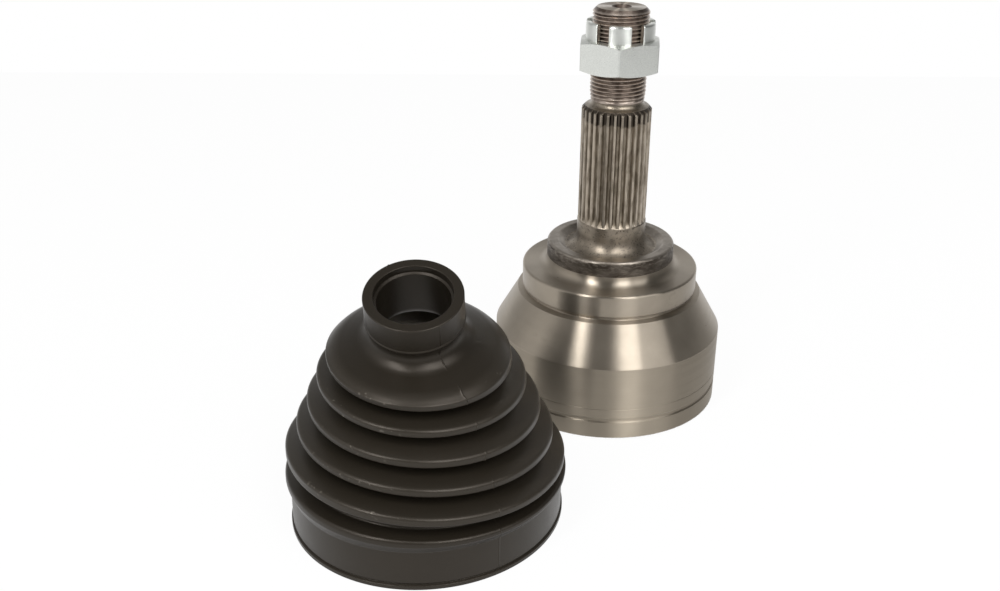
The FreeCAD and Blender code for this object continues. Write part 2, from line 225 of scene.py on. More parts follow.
class Finishes(bpy.types.PropertyGroup):
    """The colours of the part"""
    ground: colour("Ground steel", "Plain wall of the bell", "#a59b8c")
    turned: colour("Turned steel", "Cone and wide collar", "#a79d8f")
    scale: colour("Heat scale", "Dark upper collar", "#968e84")
    scale_dark: colour("Dark scale", "Darkest patches of heat scale", "#463f38")
    neck: colour("Neck steel", "Neck and dish", "#968c7e")
    spline: colour("Spline steel", "Tops of the spline teeth", "#b3a899")
    spline_dark: colour("Spline shade", "Grooves and stains of the spline", "#7a7062")
    thread: colour("Thread steel", "Crests of the thread", "#cfc1b5")
    thread_dark: colour("Thread shade", "Roots of the thread", "#5c5048")
    zinc: colour("Zinc plating", "Castle nut", "#e4e6e1")
    bearing: colour("Bearing steel", "Balls and inner race", "#a9a7a3")
    cage: colour("Cage steel", "Ball cage", "#5f5d5a")
    spring: colour("Spring steel", "Split ring", "#3d3d3e")
    rubber: colour("Boot rubber", "Boot", "#201c16")
    # colour of the crests: partly handling wear, partly a painted highlight
    rubber_worn_and_highlight: colour("Worn rubber", "Handled edges of the folds", "#2c2822")
    # also paints the dark inside of the folds pale: partly mould powder, partly painted fill light
    rubber_dust_and_painted_fill: colour("Dusted rubber", "Inside of the folds", "#8c867c")
    floor: colour("Floor", "Studio floor", "#fafafa")


class StageSettings(bpy.types.PropertyGroup):
    """The camera and the studio"""
    lens: bpy.props.FloatProperty(
        name="Lens", description="Focal length on a sensor 36 mm wide", default=40.9,
        unit="CAMERA", subtype="DISTANCE_CAMERA",
    )
    camera_x: length("Camera X", "Camera's place along X", -45.91)
    camera_y: length("Camera Y", "Camera's place along Y", -439.4)
    camera_z: length("Camera Z", "Camera's height", 245.86)
    camera_tilt: angle("Camera tilt", "How far the camera looks down", 24.96)
    camera_roll: angle("Camera roll", "Camera's turn about its own line of sight", 0.283)
    floor_side: length("Floor side", "How far the floor reaches to the left and right", 580)
    floor_front: length("Floor front", "How far the floor reaches to the front", 1450)
    floor_back: length("Floor back", "How far the floor reaches to the back", 550)


class JointSettings(bpy.types.PropertyGroup):
    """Everything that the CV joint's operators use"""
    bell: bpy.props.PointerProperty(type=BellSizes)
    stub: bpy.props.PointerProperty(type=StubSizes)
    nut: bpy.props.PointerProperty(type=NutSizes)
    boot: bpy.props.PointerProperty(type=BootSizes)
    finishes: bpy.props.PointerProperty(type=Finishes)
    stage: bpy.props.PointerProperty(type=StageSettings)


# ------------------------------------------------------------------ mesh helpers

def rounded(corners, steps=6, near=EDGE):
    """Points along a line through (radius, height, round, finish) corners, with the rounds put in.

    Each point carries the finish of the stretch that starts there. The points close beside each
    corner keep flat stretches flat when the skin is shaded smooth.
    """
    groups = []
    for index, (radius, height, size, finish) in enumerate(corners):
        here = Vector((radius, height))
        if size == 0 or index in (0, len(corners) - 1):
            groups.append(([here], finish))
            continue
        back = (Vector(corners[index - 1][:2]) - here).normalized()
        ahead = (Vector(corners[index + 1][:2]) - here).normalized()
        half = back.angle(ahead) / 2
        reach = size / math.tan(half)
        centre = here + (back + ahead).normalized() * (size / math.sin(half))
        start = here + back * reach - centre
        end = here + ahead * reach - centre
        first = math.atan2(start.y, start.x)
        sweep = math.remainder(math.atan2(end.y, end.x) - first, 2 * math.pi)
        arc = []
        for step in range(steps + 1):
            turn = first + sweep * step / steps
            arc.append(centre + Vector((math.cos(turn), math.sin(turn))) * size)
        groups.append((arc, finish))
    path = []
    for index, (points, finish) in enumerate(groups):
        path += [(point.x, point.y, finish) for point in points]
        if index + 1 == len(groups):
            break
        start = points[-1]
        end = groups[index + 1][0][0]
        run = end - start
        if run.length > near * 4:
            for point in (start + run.normalized() * near, end - run.normalized() * near):
                path.append((point.x, point.y, finish))
    return path


def bearings(number, start=0.0):
    return [start + 2 * math.pi * place / number for place in range(number)]


def polar(radius, bearing, height):
    return Vector((radius * math.cos(bearing), radius * math.sin(bearing), height))


class Skin:
    """Points and faces of one piece while it is being made."""

    def __init__(self):
        self.points = []
        self.faces = []
        self.finishes = []

    def sheet(self, rows, finishes, closed=True, climb=0, looped=False):
        """Adds four-sided faces between rows of points.

        Closed rows meet at their ends, and in a looped sheet the last row meets the first. With
        a climb, the end of each row meets the start of the row that many places on, as the turns
        of a thread do.
        """
        first = len(self.points)
        width = len(rows[0])
        number = len(rows)
        for row in rows:
            self.points += row
        for index in range(number if looped else number - 1):
            finish = finishes[index] if isinstance(finishes, list) else finishes
            for place in range(width if closed else width - 1):
                wrapped = place + 1 == width
                lift = climb if wrapped else 0
                if index + 1 + lift >= number and not looped:
                    continue
                column = 0 if wrapped else place + 1
                low, high = index * width, (index + 1) % number * width
                self.faces.append((
                    first + low + place, first + low + lift * width + column,
                    first + high + lift * width + column, first + high + place,
                ))
                self.finishes.append(finish)

    def lathe(self, path, turns):
        """Adds the skin swept by a (radius, height, finish) path about the stub's axis."""
        rows = [[polar(radius, bearing, height) for bearing in turns] for radius, height, _ in path]
        self.sheet(rows, [finish for _, _, finish in path])

    def polygon(self, points, finish):
        first = len(self.points)
        self.points += points
        self.faces.append(tuple(range(first, first + len(points))))
        self.finishes.append(finish)

    def piece(self, name, materials, sharp_angle):
        """The finished object, shaded smooth except across sharp edges."""
        names = [material.name for material in materials]
        mesh = bpy.data.meshes.new(name)
        mesh.from_pydata(self.points, [], self.faces)
        for material in materials:
            mesh.materials.append(material)
        for polygon, finish in zip(mesh.polygons, self.finishes):
            polygon.material_index = names.index(finish)
        work = bmesh.new()
        work.from_mesh(mesh)
        bmesh.ops.remove_doubles(work, verts=work.verts, dist=WELD)
        bmesh.ops.dissolve_degenerate(work, edges=work.edges, dist=WELD)
        work.to_mesh(mesh)
        work.free()
        mesh.shade_smooth()
        mesh.set_sharp_from_angle(angle=sharp_angle)
        thing = bpy.data.objects.new(name, mesh)
        bpy.context.scene.collection.objects.link(thing)
        return thing


# ------------------------------------------------------------------ material helpers

COLOURS = {"data_type": "RGBA", "out": 2}
PLUS = {"operation": "ADD"}
TIMES = {"operation": "MULTIPLY"}
MINUS = {"operation": "SUBTRACT"}
WHITE = (1.0, 1.0, 1.0, 1.0)
BLACK = (0.0, 0.0, 0.0, 1.0)


def node(tree, kind, *inputs, out=0, **settings):
    """Adds a shader node with its settings and links, and returns one of its outputs.

    The inputs come in the node's own order, or by name or number in one dictionary. Each is a
    value or another node's output. Without an output to pick, the node itself is returned.
    """
    made = tree.nodes.new("ShaderNode" + kind)
    for key, value in settings.items():
        setattr(made, key, value)
    named = inputs and isinstance(inputs[0], dict)
    for key, value in (inputs[0] if named else dict(enumerate(inputs))).items():
        if isinstance(value, bpy.types.NodeSocket):
            tree.links.new(value, made.inputs[key])
        else:
            made.inputs[key].default_value = value
    return made if out is None or not made.outputs else made.outputs[out]


def empty_material(name):
    """A material without nodes, and the node function tied to it."""
    made = bpy.data.materials.new(name)
    made.use_nodes = True
    made.node_tree.nodes.clear()
    return made, functools.partial(node, made.node_tree)


def shade(tone, share=1.0):
    """A colour with its alpha, darkened to a share of itself."""
    return (*(part * share for part in tone), 1.0)


def about_axis(add):
    """Object place, and its distance from the stub's axis and height along it."""
    spot = add("TexCoord", out="Object")
    parts = add("SeparateXYZ", spot, out=None).outputs
    flat = add("CombineXYZ", parts["X"], parts["Y"])
    return spot, add("VectorMath", flat, operation="LENGTH", out="Value"), parts["Z"]


def finish(add, tone, rough, turned=0.0, relief=None, depth=0.0, metallic=1.0, more=None):
    """Ends a material with its shader.

    Turned metal carries the rings of the tool or grinding wheel, which draw its highlights out
    along the part. The relief is a height from 0 to 1 that stands for the depth.
    """
    values = {"Base Color": tone, "Roughness": rough, "Metallic": metallic, **(more or {})}
    if turned:
        values["Anisotropic"] = turned
        values["Anisotropic Rotation"] = 0.25
        values["Tangent"] = add("Tangent", direction_type="RADIAL", axis="Z")
    if relief:
        values["Normal"] = add("Bump", {"Height": relief, "Distance": depth, "Strength": 1.0})
    add("OutputMaterial", add("BsdfPrincipled", values))


# ------------------------------------------------------------------ materials

def pitted(add, spot, tone, finishes):
    """The tone with sparse dark rust pits, about 0.3 mm across and a centimetre apart."""
    cells = add("TexVoronoi", {"Vector": spot, "Scale": 1 / (7 * MM)}, out=None).outputs
    chosen = add("SeparateColor", cells["Color"])
    near = add("MapRange", cells["Distance"], 0.05, 0.025)
    pits = add("Math", near, add("MapRange", chosen, 0.5, 0.52), **TIMES)
    return add("Mix", {0: pits, 6: tone, 7: shade(finishes.spline_dark)}, **COLOURS)


def ringed(add, finishes, tone, dark, ring, patch, detail):
    """Object place, tool rings, film of oil, and the tone as film and rust pits leave it.

    The film darkens the tone to the given share in soft patches.
    """
    spot, radius, height = about_axis(add)
    across = add("CombineXYZ", radius, height)
    rings = add("TexNoise", {"Vector": across, "Scale": 1 / ring, "Detail": 3},
                noise_dimensions="2D")
    film = add("TexNoise", {"Vector": spot, "Scale": 1 / patch, "Detail": detail})
    oiled = add("MapRange", film, 0.3, 0.7)
    tone = add("Mix", {0: oiled, 6: shade(tone, dark), 7: shade(tone)}, **COLOURS)
    return spot, rings, film, pitted(add, spot, tone, finishes)


def ground_steel(finishes):
    """Ground carbon steel of the bell's wall, lightly oiled.

    Grinding leaves fine rings, so lights stretch into upright bands, and a thin film of oil and a
    few rust pits break the even grey.
    """
    made, add = empty_material("ground_carbon_steel")
    # grinding rings are about 0.05 mm apart, too fine to show, so they are drawn 0.5 mm apart
    _, rings, film, tone = ringed(add, finishes, finishes.ground, 0.86, 0.5 * MM, 14 * MM, 3)
    oily = add("MapRange", film, 0.3, 0.7, 0.4, 0.46)
    rough = add("Math", oily, add("MapRange", rings, 0.3, 0.7, -0.02, 0.02), **PLUS)
    finish(add, tone, rough, turned=1.0, relief=rings, depth=0.002 * MM)
    return made


def turned_steel(finishes):
    """Finish-turned carbon steel of the cone and the wide collar.

    A sharp tool leaves it brighter than the ground wall, with clear bands, and handling has left
    faint speckles in the oil.
    """
    made, add = empty_material("turned_carbon_steel")
    # turning marks are about 0.1 mm apart, too fine to show, so they are drawn 0.6 mm apart
    spot, rings, film, tone = ringed(add, finishes, finishes.turned, 0.85, 0.6 * MM, 11 * MM, 4)
    speckle = add("TexNoise", {"Vector": spot, "Scale": 1 / (0.9 * MM), "Detail": 2})
    marked = add("MapRange", film, 0.5, 0.7)
    patchy = add("Math", marked, add("MapRange", speckle, 0.54, 0.64), **TIMES)
    ringy = add("MapRange", rings, 0.3, 0.7, 0.31, 0.35)
    rough = add("Math", patchy, 0.1, ringy, operation="MULTIPLY_ADD")
    finish(add, tone, rough, turned=1.0, relief=rings, depth=0.002 * MM)
    return made


def scaled_steel(finishes):
    """Forged steel of the upper collar, dark with heat scale from induction hardening.

    The scale is nearly black and rough on the edge where it has flaked, and rubbed to grey steel on
    the face.
    The flakes on the rounded upper edge are painted lighter, partly as bare steel and partly as a
    painted highlight.
    """
    made, add = empty_material("induction_hardened_steel")
    spot, radius, height = about_axis(add)
    # the scale flakes off in strips that lie along the turning
    flat = add("Mapping", {"Vector": spot, "Scale": (1.0, 1.0, 3.0)})
    patches = add("TexNoise", {"Vector": flat, "Scale": 1 / (7 * MM), "Detail": 4})
    chips = add("TexNoise", {"Vector": flat, "Scale": 1 / (2.2 * MM), "Detail": 3})
    outer = add("MapRange", radius, 25.6 * MM, 26.1 * MM)
    wall = add("Math", outer, add("MapRange", height, 67.7 * MM, 67.0 * MM), **TIMES)
    worn_face = add("MapRange", patches, 0.35, 0.65, 0.7, 1.0)
    wear = add("Math", wall, -0.7, worn_face, operation="MULTIPLY_ADD")
    # the flakes on the collar's rounded upper edge are painted lighter: partly bare steel, partly a
    # painted highlight
    upper = add("MapRange", height, 64.6 * MM, 66.6 * MM)
    rim = add("Math", upper, add("MapRange", radius, 24.6 * MM, 25.6 * MM), **TIMES)
    bare = add("MapRange", chips, 0.5, 0.6)
    rim_chips_and_highlight = add("Math", bare, add("MapRange", rim, 0.0, 1.0, 0.15, 0.35), **TIMES)
    wear = add("Math", wear, rim_chips_and_highlight, **PLUS)
    dark, worn_and_painted_light = shade(finishes.scale_dark), shade(finishes.scale)
    tone = add("Mix", {0: wear, 6: dark, 7: worn_and_painted_light}, **COLOURS)
    rough = add("MapRange", wear, 0.0, 1.0, 0.55, 0.36)
    relief = add("Math", chips, add("MapRange", rim, 0.0, 1.0, 0.12, 1.0), **TIMES)
    finish(add, tone, rough, turned=0.4, relief=relief, depth=0.2 * MM)
    return made


def neck_steel(finishes):
    """Turned steel of the dish and neck, mottled by heat and handling."""
    made, add = empty_material("turned_neck_steel")
    spot = add("TexCoord", out="Object")
    patches = add("TexNoise", {"Vector": spot, "Scale": 1 / (4 * MM), "Detail": 6})
    specks = add("TexNoise", {"Vector": spot, "Scale": 1 / (0.8 * MM), "Detail": 4})
    mottled = add("MapRange", patches, 0.42, 0.66, 0.0, 0.45)
    stain = add("Math", mottled, add("MapRange", specks, 0.57, 0.66, 0.0, 0.7), **PLUS)
    share = add("MapRange", stain, 0.0, 1.2)
    clean, dark = shade(finishes.neck), shade(finishes.scale_dark)
    tone = add("Mix", {0: share, 6: clean, 7: dark}, **COLOURS)
    rough = add("MapRange", stain, 0.0, 1.2, 0.36, 0.5)
    finish(add, tone, rough, turned=0.5, relief=specks, depth=0.03 * MM)
    return made


def rolled_spline_steel(finishes, stub):
    """Cold-rolled spline, rubbed bright on the teeth and stained brown between them.

    A band near the upper end is blackened, because the hardening coil overlapped it.
    """
    made, add = empty_material("rolled_spline_steel")
    spot, radius, height = about_axis(add)
    # drawn-out stains run along the teeth, about 6 mm long and 1 mm wide
    stretched = add("Mapping", {"Vector": spot, "Scale": (1.0, 1.0, 0.22)})
    streaks = add("TexNoise", {"Vector": stretched, "Scale": 1 / (1.3 * MM), "Detail": 5})
    patches = add("TexNoise", {"Vector": spot, "Scale": 1 / (6 * MM), "Detail": 3})
    # 1 in the grooves and 0 on the teeth
    groove = stub.tip_radius - 0.8 * stub.tooth_depth
    land = stub.tip_radius - 0.1 * stub.tooth_depth
    low = add("Math", 1.0, add("MapRange", radius, groove, land), **MINUS)
    streaky = add("MapRange", streaks, 0.42, 0.66, 0.0, 0.8)
    stain = add("Math", low, 0.7, streaky, operation="MULTIPLY_ADD")
    stain = add("Math", stain, add("MapRange", patches, 0.5, 0.7, 0.0, 0.35), **PLUS)
    share = add("MapRange", stain, 0.15, 1.2)
    clean, brown = shade(finishes.spline), shade(finishes.spline_dark)
    tone = add("Mix", {0: share, 6: clean, 7: brown}, **COLOURS)
    wavy = add("Math", height, add("MapRange", patches, 0.3, 0.7, -1.0 * MM, 1.0 * MM), **PLUS)
    band = add("MapRange", wavy, 119.0 * MM, 119.8 * MM)
    black = add("Math", band, add("MapRange", low, 0.0, 0.5, 0.35, 0.95), **TIMES)
    tone = add("Mix", {0: black, 6: tone, 7: shade(finishes.scale_dark)}, **COLOURS)
    matt = add("MapRange", stain, 0.0, 1.2, 0.38, 0.55)
    rough = add("Math", band, -0.12, matt, operation="MULTIPLY_ADD")
    finish(add, tone, rough, relief=streaks, depth=0.12 * MM)
    return made


def rolled_thread_steel(finishes, stub):
    """Rolled metric thread, bright along its crests and brown with oil at its roots."""
    made, add = empty_material("rolled_thread_steel")
    spot, radius, _ = about_axis(add)
    patches = add("TexNoise", {"Vector": spot, "Scale": 1 / (3 * MM), "Detail": 4})
    root = stub.thread_radius - stub.thread_depth + 0.1 * MM
    crest = stub.thread_radius - 0.1 * MM
    low = add("Math", 1.0, add("MapRange", radius, root, crest), **MINUS)
    stain = add("Math", low, add("MapRange", patches, 0.4, 0.7, 0.0, 0.5), **PLUS)
    share = add("MapRange", stain, 0.0, 1.3)
    clean, brown = shade(finishes.thread), shade(finishes.thread_dark)
    tone = add("Mix", {0: share, 6: clean, 7: brown}, **COLOURS)
    rough = add("MapRange", stain, 0.0, 1.3, 0.26, 0.45)
    finish(add, tone, rough, turned=0.5)
    return made


def zinc_plating(finishes):
    """Bright zinc plating on the castle nut: silvery, with the fine sparkle of its crystals."""
    made, add = empty_material("zinc_plated_steel")
    spot = add("TexCoord", out="Object")
    # plating crystals are about 0.05 mm, too fine to show, so they are drawn 0.35 mm across
    crystals = add("TexNoise", {"Vector": spot, "Scale": 1 / (0.35 * MM), "Detail": 3})
    cloud = add("TexNoise", {"Vector": spot, "Scale": 1 / (5 * MM), "Detail": 3})
    sparkle = add("MapRange", crystals, 0.35, 0.65)
    dull, bright = shade(finishes.zinc, 0.84), shade(finishes.zinc)
    tone = add("Mix", {0: sparkle, 6: dull, 7: bright}, **COLOURS)
    cloudy = add("MapRange", cloud, 0.35, 0.65, 0.3, 0.4)
    rough = add("Math", cloudy, add("MapRange", crystals, 0.35, 0.65, -0.05, 0.06), **PLUS)
    finish(add, tone, rough, relief=crystals, depth=0.02 * MM)
    return made


def clouded_steel(name, patch, detail, low, dark, clean, rough, turned=0.0, coat=None):
    """Steel whose colour and gloss drift in soft patches of the given size.

    The dark colour fills the patches where the noise is low, and rough holds the roughness there
    and elsewhere, or one roughness for all of it.
    """
    made, add = empty_material(name)
    spot = add("TexCoord", out="Object")
    film = add("TexNoise", {"Vector": spot, "Scale": 1 / patch, "Detail": detail})
    share = add("MapRange", film, low, 1 - low)
    if isinstance(rough, tuple):
        rough = add("MapRange", film, low, 1 - low, *rough)
    tone = add("Mix", {0: share, 6: dark, 7: clean}, **COLOURS)
    finish(add, tone, rough, turned, more=coat)
    return made


def greased_steel(finishes):
    """Hardened inside of the bell, dark under a film of grease that keeps it glossy."""
    return clouded_steel(
        "greased_hardened_steel", 7 * MM, 4, 0.35, shade(finishes.scale), shade(finishes.neck),
        (0.24, 0.4), coat={"Coat Weight": 0.4, "Coat Roughness": 0.15},
    )


def crown_plating(finishes):
    """The same zinc over the crown, which was turned smooth, so it mirrors more of the studio."""
    return clouded_steel(
        "zinc_plated_turned_steel", 3 * MM, 3, 0.3, shade(finishes.zinc, 0.9),
        shade(finishes.zinc), (0.3, 0.38), turned=0.9,
    )


def bearing_steel(finishes):
    """Ground and lapped chromium steel of the balls and inner race, close to a mirror."""
    return clouded_steel(
        "lapped_bearing_steel", 5 * MM, 3, 0.3, shade(finishes.bearing, 0.82),
        shade(finishes.bearing), (0.08, 0.2),
    )


def cage_steel(finishes):
    """Case-hardened cage, dark grey from the furnace and ground where it slides."""
    return clouded_steel(
        "case_hardened_steel", 4 * MM, 5, 0.35, shade(finishes.cage, 0.6), shade(finishes.cage),
        (0.42, 0.28),
    )


def spring_steel(finishes):
    """Oil-blackened spring wire of the split ring, with an even, dull gloss."""
    return clouded_steel(
        "oil_blackened_spring_steel", 2 * MM, 3, 0.35, shade(finishes.spring, 0.6),
        shade(finishes.spring), 0.35,
    )


def moulded_rubber(finishes):
    """Injection-moulded chloroprene rubber.

    The mould's spark-eroded skin scatters light into a soft satin, the crests are painted a shade
    lighter, partly as handling wear and partly as a painted highlight, a faint bloom of wax clouds
    the black, and the inside of the folds is painted pale, partly as the chalky powder that helped
    it off the mould and partly as painted fill light where little light reaches.
    """
    made, add = empty_material("moulded_chloroprene_rubber")
    spot = add("TexCoord", out="Object")
    # 1 on the crests, 0 in the valleys and below 0 inside; it sets the crests' painted highlight
    # and the painted fill light inside the folds
    worn_and_painted_light = add("Attribute", attribute_name="worn_and_painted_light", out="Fac")
    bloom = add("TexNoise", {"Vector": spot, "Scale": 1 / (12 * MM), "Detail": 4})
    # the mould's texture is about 0.05 mm, too fine to show, so it is drawn 0.3 mm across
    skin = add("TexNoise", {"Vector": spot, "Scale": 1 / (0.3 * MM), "Detail": 3})
    # the crests are painted a shade lighter: partly handling wear, partly a painted highlight
    marked = add("MapRange", worn_and_painted_light, 0.0, 1.0)
    share = add("Math", marked, add("MapRange", bloom, 0.3, 0.7, 0.5, 1.0), **TIMES)
    black, dust_and_painted_fill = shade(finishes.rubber), shade(finishes.rubber_dust_and_painted_fill)
    tone = add("Mix", {0: share, 6: black, 7: shade(finishes.rubber_worn_and_highlight)}, **COLOURS)
    waxy = add("MapRange", bloom, 0.3, 0.7, 0.0, 0.3)
    tone = add("Mix", {0: waxy, 6: tone, 7: shade(finishes.rubber, 0.75)}, **COLOURS)
    # deep inside the folds the rubber is painted pale: partly mould powder, partly painted fill
    # light
    inside = add("MapRange", worn_and_painted_light, -1.0, -2.0)
    tone = add("Mix", {0: inside, 6: tone, 7: dust_and_painted_fill}, **COLOURS)
    # scuffs of 1 to 2 mm on the crests, in stretches of a few centimetres
    marks = add("TexNoise", {"Vector": spot, "Scale": 1 / (1.6 * MM), "Detail": 1})
    crests = add("MapRange", worn_and_painted_light, 0.8, 1.0)
    scuffs = add("Math", add("MapRange", marks, 0.66, 0.74), crests, **TIMES)
    stretches = add("TexNoise", {"Vector": spot, "Scale": 1 / (40 * MM), "Detail": 1})
    rubbed = add("MapRange", stretches, 0.5, 0.6, 0.0, 0.25)
    scuffs = add("Math", scuffs, rubbed, **TIMES)
    tone = add("Mix", {0: scuffs, 6: tone, 7: dust_and_painted_fill}, **COLOURS)
    satin = add("MapRange", bloom, 0.3, 0.7, 0.31, 0.38)
    rough = add("Math", satin, add("MapRange", skin, 0.3, 0.7, -0.03, 0.03), **PLUS)
    finish(add, tone, rough, relief=skin, depth=0.02 * MM, metallic=0.0, more={
        "IOR": 1.52, "Specular IOR Level": 0.34, "Specular Tint": (1.0, 0.9, 0.8, 1.0),
    })
    return made


# ------------------------------------------------------------------ housing

def bell_path(bell, stub):
    """The line that the bell, its shoulders and the neck are turned along."""
    groove = bell.radius - bell.groove_depth
    scribe = bell.radius - bell.scribe_depth
    mouth_edge = 0.3 * MM
    groove_edge = 0.15 * MM
    scribe_half = 0.25 * MM
    crisp, soft = 0.2 * MM, 0.25 * MM
    ground = "ground_carbon_steel"
    turned = "turned_carbon_steel"
    scaled = "induction_hardened_steel"
    neck = "turned_neck_steel"
    return rounded([
        (bell.radius - mouth_edge, 0, 0, ground),
        (bell.radius, mouth_edge, 0, ground),
        (bell.radius, bell.groove_bottom, groove_edge, ground),
        (groove, bell.groove_bottom + bell.groove_depth, 0, ground),
        (groove, bell.groove_top - bell.groove_depth, 0, ground),
        (bell.radius, bell.groove_top, groove_edge, ground),
        (bell.radius, bell.scribe_height - scribe_half, 0, ground),
        (scribe, bell.scribe_height, 0, ground),
        (bell.radius, bell.scribe_height + scribe_half, 0, ground),
        (bell.radius, bell.wall_top, bell.wall_round, turned),
        (bell.cone_top_radius, bell.cone_top, crisp, turned),
        (bell.root_radius, bell.cone_top + bell.root_slope, soft, turned),
        (bell.root_radius, bell.root_top - bell.root_slope, soft, turned),
        (bell.collar_radius, bell.root_top, crisp, turned),
        (bell.collar_radius, bell.collar_top, bell.collar_round, turned),
        (bell.hub_radius, bell.collar_top, bell.hub_foot_round, turned),
        (bell.hub_radius, bell.collar_top + bell.hub_foot_round + 0.4 * MM, 0, scaled),
        (bell.hub_radius, bell.hub_top, bell.hub_round, scaled),
        (bell.face_inner_radius, bell.hub_top, bell.hub_round, scaled),
        (bell.neck_radius + bell.neck_foot_step, bell.hub_top - bell.face_dish, 1.0 * MM, neck),
        (bell.neck_radius, bell.hub_top, bell.neck_round, neck),
        (bell.neck_radius, stub.spline_bottom - 0.3 * MM, 0, neck),
        (stub.tip_radius, stub.spline_bottom, 0, neck),
    ])


def spline_rows(stub):
    """Rows of points round the splined length, sixteen to a tooth."""
    shares = [0.0, 0.08, 0.15, 0.17, 0.25, 0.325, 0.345, 0.42, 0.5]
    shares += [1 - share for share in reversed(shares[1:-1])]
    # floor, flank and land of half a tooth, as shares of the pitch
    floor_end, flank, land = 0.16, 0.175, 0.165
    fullness, unevenness, patch = 0.06 * MM, 0.05 * MM, 9 * MM
    pitch = 2 * math.pi / stub.teeth
    root = stub.tip_radius - stub.tooth_depth
    low, high = stub.spline_bottom, stub.spline_top
    straight = high - stub.spline_chamfer
    heights = [low + stub.runout * step / 10 for step in range(11)]
    steps = 16
    even = straight - low - stub.runout
    heights += [low + stub.runout + even * step / steps for step in range(1, steps)]
    heights += [straight - EDGE, straight, straight + EDGE]
    heights += [straight + (stub.teeth_end - straight) * step / 6 for step in range(1, 7)]
    rows = []
    for height in heights:
        fade = min(max((height - low) / stub.runout, 0), 1)
        floor = stub.tip_radius - stub.tooth_depth * math.sin(fade * math.pi / 2)
        ceiling = stub.tip_radius - max(height - straight, 0)
        row = []
        for tooth in range(stub.teeth):
            for share in shares:
                aside = min(share, 1 - share)
                rise = min(max((aside - floor_end) / flank, 0), 1)
                radius = root + (stub.tooth_depth - fullness) * rise
                # rolled teeth are a little full in the middle and never quite alike
                if aside > floor_end + flank:
                    radius += fullness * math.cos((0.5 - aside) / land * math.pi / 2)
                bearing = stub.first_groove + pitch * (tooth + share)
                spot = Vector((tooth * 3.7, share * 2, height / patch))
                sway = noise.noise(spot) * unevenness
                radius = min(max(radius + sway * rise, floor), ceiling)
                row.append(polar(radius, bearing, height))
        rows.append(row)
    return rows


def thread_rows(stub):
    """Rows of points that climb with the thread."""
    start = stub.spline_top + stub.relief_height - THREAD_LEAD
    end = stub.top - stub.end_chamfer
    turns = bearings(STUB_STEPS)
    root = stub.thread_radius - stub.thread_depth
    per_pitch = len(THREAD_SHAPE)
    fade_turns = 2.2
    wear_depth, wear_patch, wear_round = 0.05 * MM, 1.2 * MM, 8
    rows = []
    for index in range(-per_pitch, int((end - start) / stub.thread_pitch * per_pitch) + 2):
        row = []
        for bearing in turns:
            height = start + stub.thread_pitch * (index / per_pitch + bearing / (2 * math.pi))
            height = min(max(height, start), end)
            fade = min((height - start) / (fade_turns * stub.thread_pitch), 1)
            crest = stub.thread_radius - (1 - fade) * THREAD_BLANK
            cut = 1 - THREAD_SHAPE[index % per_pitch]
            radius = crest - stub.thread_depth * fade * cut
            wear = noise.noise(polar(wear_round, bearing, height / wear_patch)) * wear_depth
            row.append(polar(max(min(radius + wear, stub.thread_radius), root), bearing, height))
        rows.append(row)
    return rows


def copy_socket(skin, bell):
    """Adds the inside of the bell, with its ball tracks, from the housing's solid."""
    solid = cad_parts["housing"].data
    thinnest_wall = 1.4 * MM
    outside = [
        (0, bell.radius), (bell.wall_top, bell.radius), (bell.cone_top, bell.cone_top_radius),
        (bell.cone_top + 0.1 * MM, bell.root_radius), (bell.collar_top, bell.root_radius),
    ]
    for face in solid.polygons:
        points = [solid.vertices[corner].co.copy() for corner in face.vertices]
        if max(point.z for point in points) > bell.socket_top + 0.5 * MM:
            continue
        middle = sum(points, Vector()) / len(points)
        wall = bell.radius
        for (low, wide), (high, narrow) in zip(outside, outside[1:]):
            if low <= middle.z <= high:
                wall = wide + (narrow - wide) * (middle.z - low) / (high - low)
        on_rim = max(point.z for point in points) < 0.01 * MM
        if on_rim or middle.xy.length < wall - thinnest_wall:
            skin.polygon(points, "ground_carbon_steel" if on_rim else "greased_hardened_steel")


